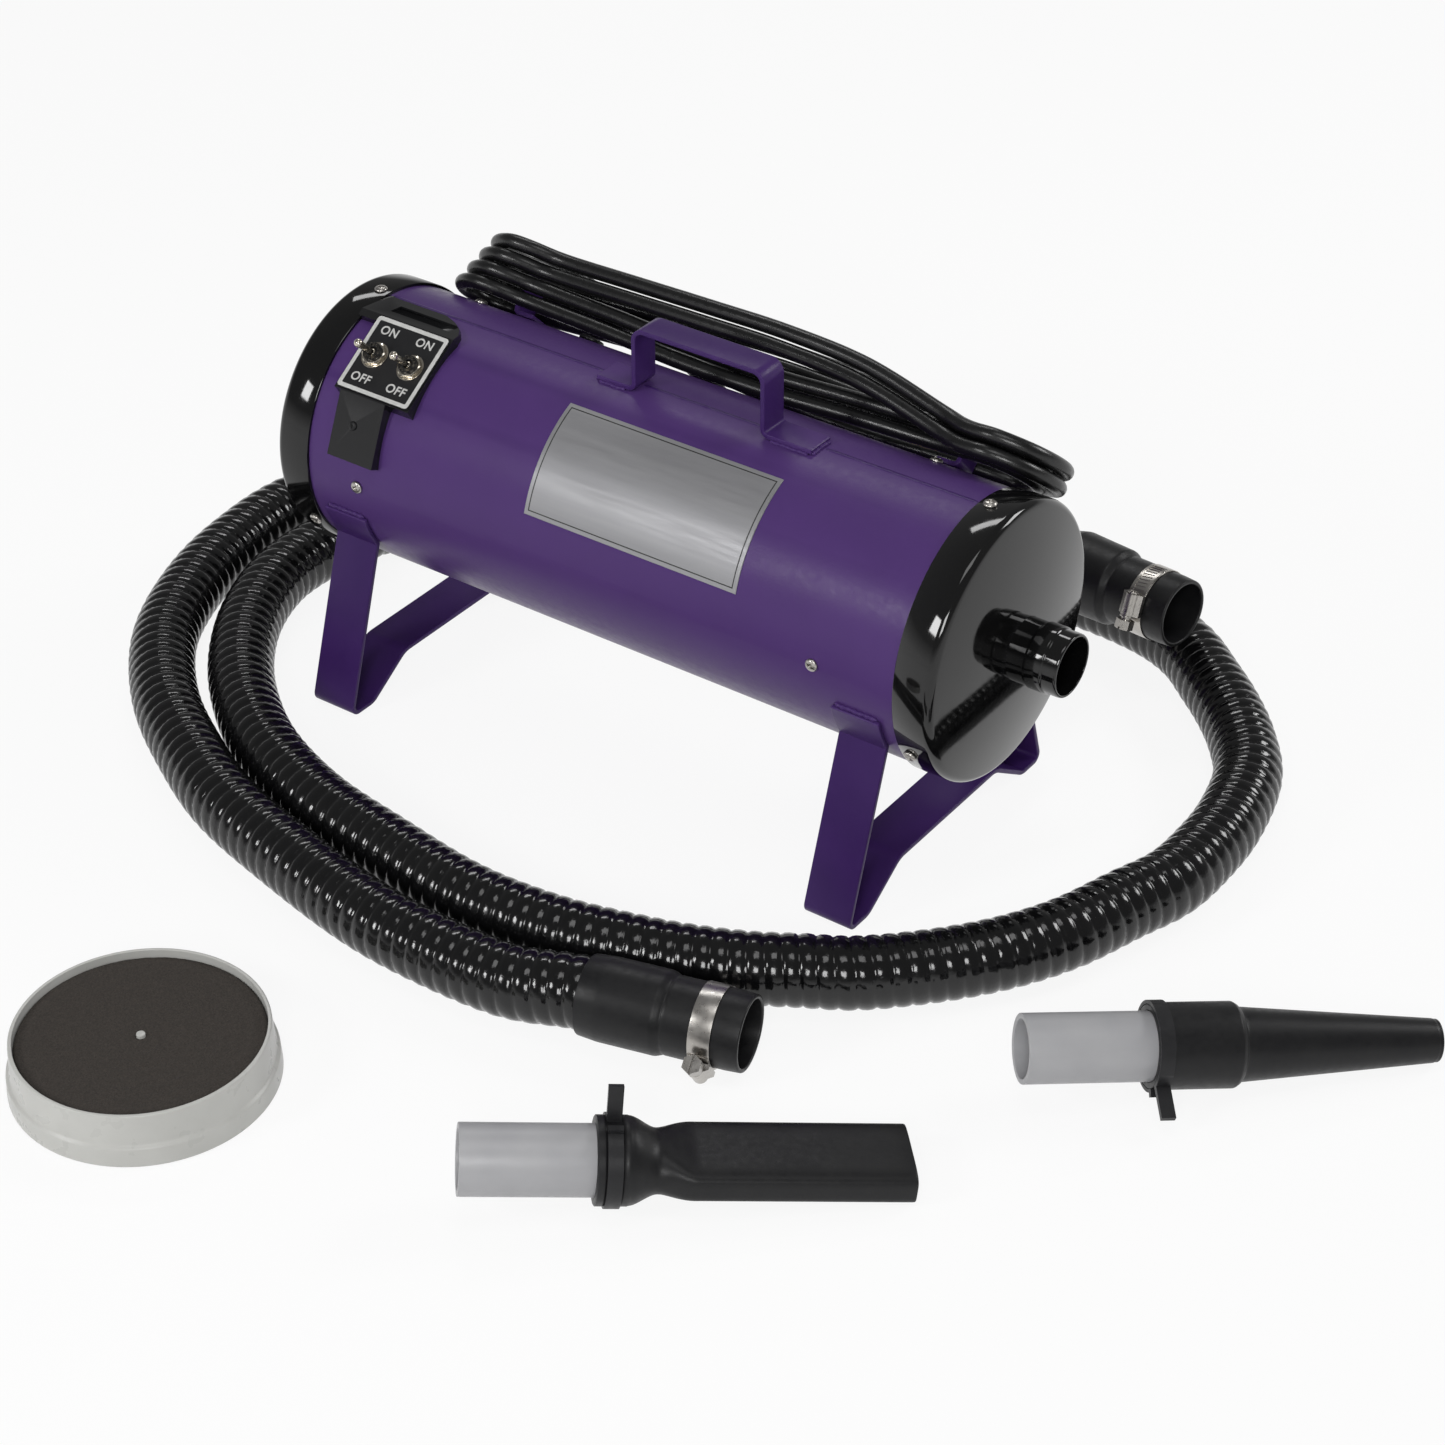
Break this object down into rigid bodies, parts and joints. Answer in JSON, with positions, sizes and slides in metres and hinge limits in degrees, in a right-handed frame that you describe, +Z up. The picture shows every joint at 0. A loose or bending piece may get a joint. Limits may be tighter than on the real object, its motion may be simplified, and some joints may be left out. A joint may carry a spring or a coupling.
{
  "type": "blower dryer kit",
  "caption": "Steel-tube hot-air blower dryer on strap stands with carrying handle, toggle switches, wound mains cord, ribbed hose, flat and cone nozzles and intake filter.",
  "frame": {"origin": "on the ground, in the middle of the bounding box of the kit's rigid pieces (blower, nozzles and filter, without hose and cord)", "axes": "+X along the blower's axis toward the outlet, +Z up, +Y to the far side, where the cord hooks are"},
  "size_m": [0.8994, 0.7753, 0.2801],
  "materials": {
    "purple_paint": "glossy, slight orange peel",
    "black_gloss": "glossy",
    "black_satin": "satin",
    "black_rubber": "satin",
    "zinc_steel": "zinc plated",
    "nickel": "nickel plated",
    "silver_plate": "satin",
    "grey_tube": "satin",
    "white_pan": "translucent",
    "brown_foam": "open-cell foam",
    "copper": "plain",
    "iron": "plain",
    "brass": "plain",
    "mica": "matte",
    "carbon": "matte"
  },
  "bodies": {
    "machine": {"shell": "purple_paint", "front_cap": "black_gloss", "outlet_spigot": "black_gloss", "rear_cap": "black_gloss", "front_cap_screws": "zinc_steel", "rear_cap_screws": "zinc_steel", "motor_mount_screws": "zinc_steel", "heater_mount_screws": "zinc_steel", "front_stand": "purple_paint", "rear_stand": "purple_paint", "carry_handle": "purple_paint", "name_plate": "silver_plate", "rear_cord_hook": "purple_paint", "front_cord_hook": "purple_paint", "cord_gland": "black_rubber", "mains_cord": "black_rubber", "mains_plug": "black_rubber", "plug_blades": "brass", "switch_housing": "black_gloss", "switch_plate": "black_gloss", "housing_screw": "black_satin", "motor_toggle_body": "black_satin", "heat_toggle_body": "black_satin", "toggle_nuts": "nickel", "motor_ring": "iron", "motor_gasket": "black_rubber", "fan_case": "zinc_steel", "guide_vanes": "zinc_steel", "motor_frame": "iron", "field_core": "copper", "bearings": "zinc_steel", "brush_holders": "brass", "brushes": "carbon", "heater_ring": "iron", "mica_boards": "mica", "heater_coil": "nickel", "thermostat": "zinc_steel", "hose": "black_rubber", "nozzle_cuff": "black_satin", "machine_cuff": "black_satin", "nozzle_cuff_clamp": "zinc_steel", "machine_cuff_clamp": "zinc_steel", "flat_nozzle": "black_satin", "flat_nozzle_tube": "grey_tube", "flat_nozzle_clip": "black_satin", "cone_nozzle": "black_satin", "cone_nozzle_tube": "grey_tube", "cone_nozzle_clip": "black_satin", "filter_pan": "white_pan", "filter_foam": "brown_foam"},
    "motor_rotor": {"motor_shaft": "zinc_steel", "armature": "copper", "commutator": "copper", "impellers": "zinc_steel"},
    "motor_toggle": {"motor_toggle_lever": "nickel"},
    "heat_toggle": {"heat_toggle_lever": "nickel"},
    "nozzle_clamp_screw": {"nozzle_cuff_screw": "zinc_steel"},
    "machine_clamp_screw": {"machine_cuff_screw": "zinc_steel"}
  },
  "joints": [
    {"name": "motor_toggle_tilt", "type": "hinge", "parent": "machine", "child": "motor_toggle", "pos_m": [-0.32522, 0.1472, 0.23009], "axis": [-1, 0, 0], "range_deg": [0, 26]},
    {"name": "heat_toggle_tilt", "type": "hinge", "parent": "machine", "child": "heat_toggle", "pos_m": [-0.29783, 0.1472, 0.23009], "axis": [-1, 0, 0], "range_deg": [0, 26]},
    {"name": "motor_spin", "type": "hinge", "parent": "machine", "child": "motor_rotor", "pos_m": [-0.14253, 0.19775, 0.15555], "axis": [1, 0, 0], "continuous": true},
    {"name": "nozzle_clamp_turn", "type": "hinge", "parent": "machine", "child": "nozzle_clamp_screw", "pos_m": [0.06594, -0.06407, 0.00888], "axis": [0.1465, -0.5545, 0.8192], "continuous": true},
    {"name": "machine_clamp_turn", "type": "hinge", "parent": "machine", "child": "machine_clamp_screw", "pos_m": [0.0699, 0.38711, 0.0738], "axis": [-0.0067, -0.3777, -0.9259], "continuous": true}
  ]
}
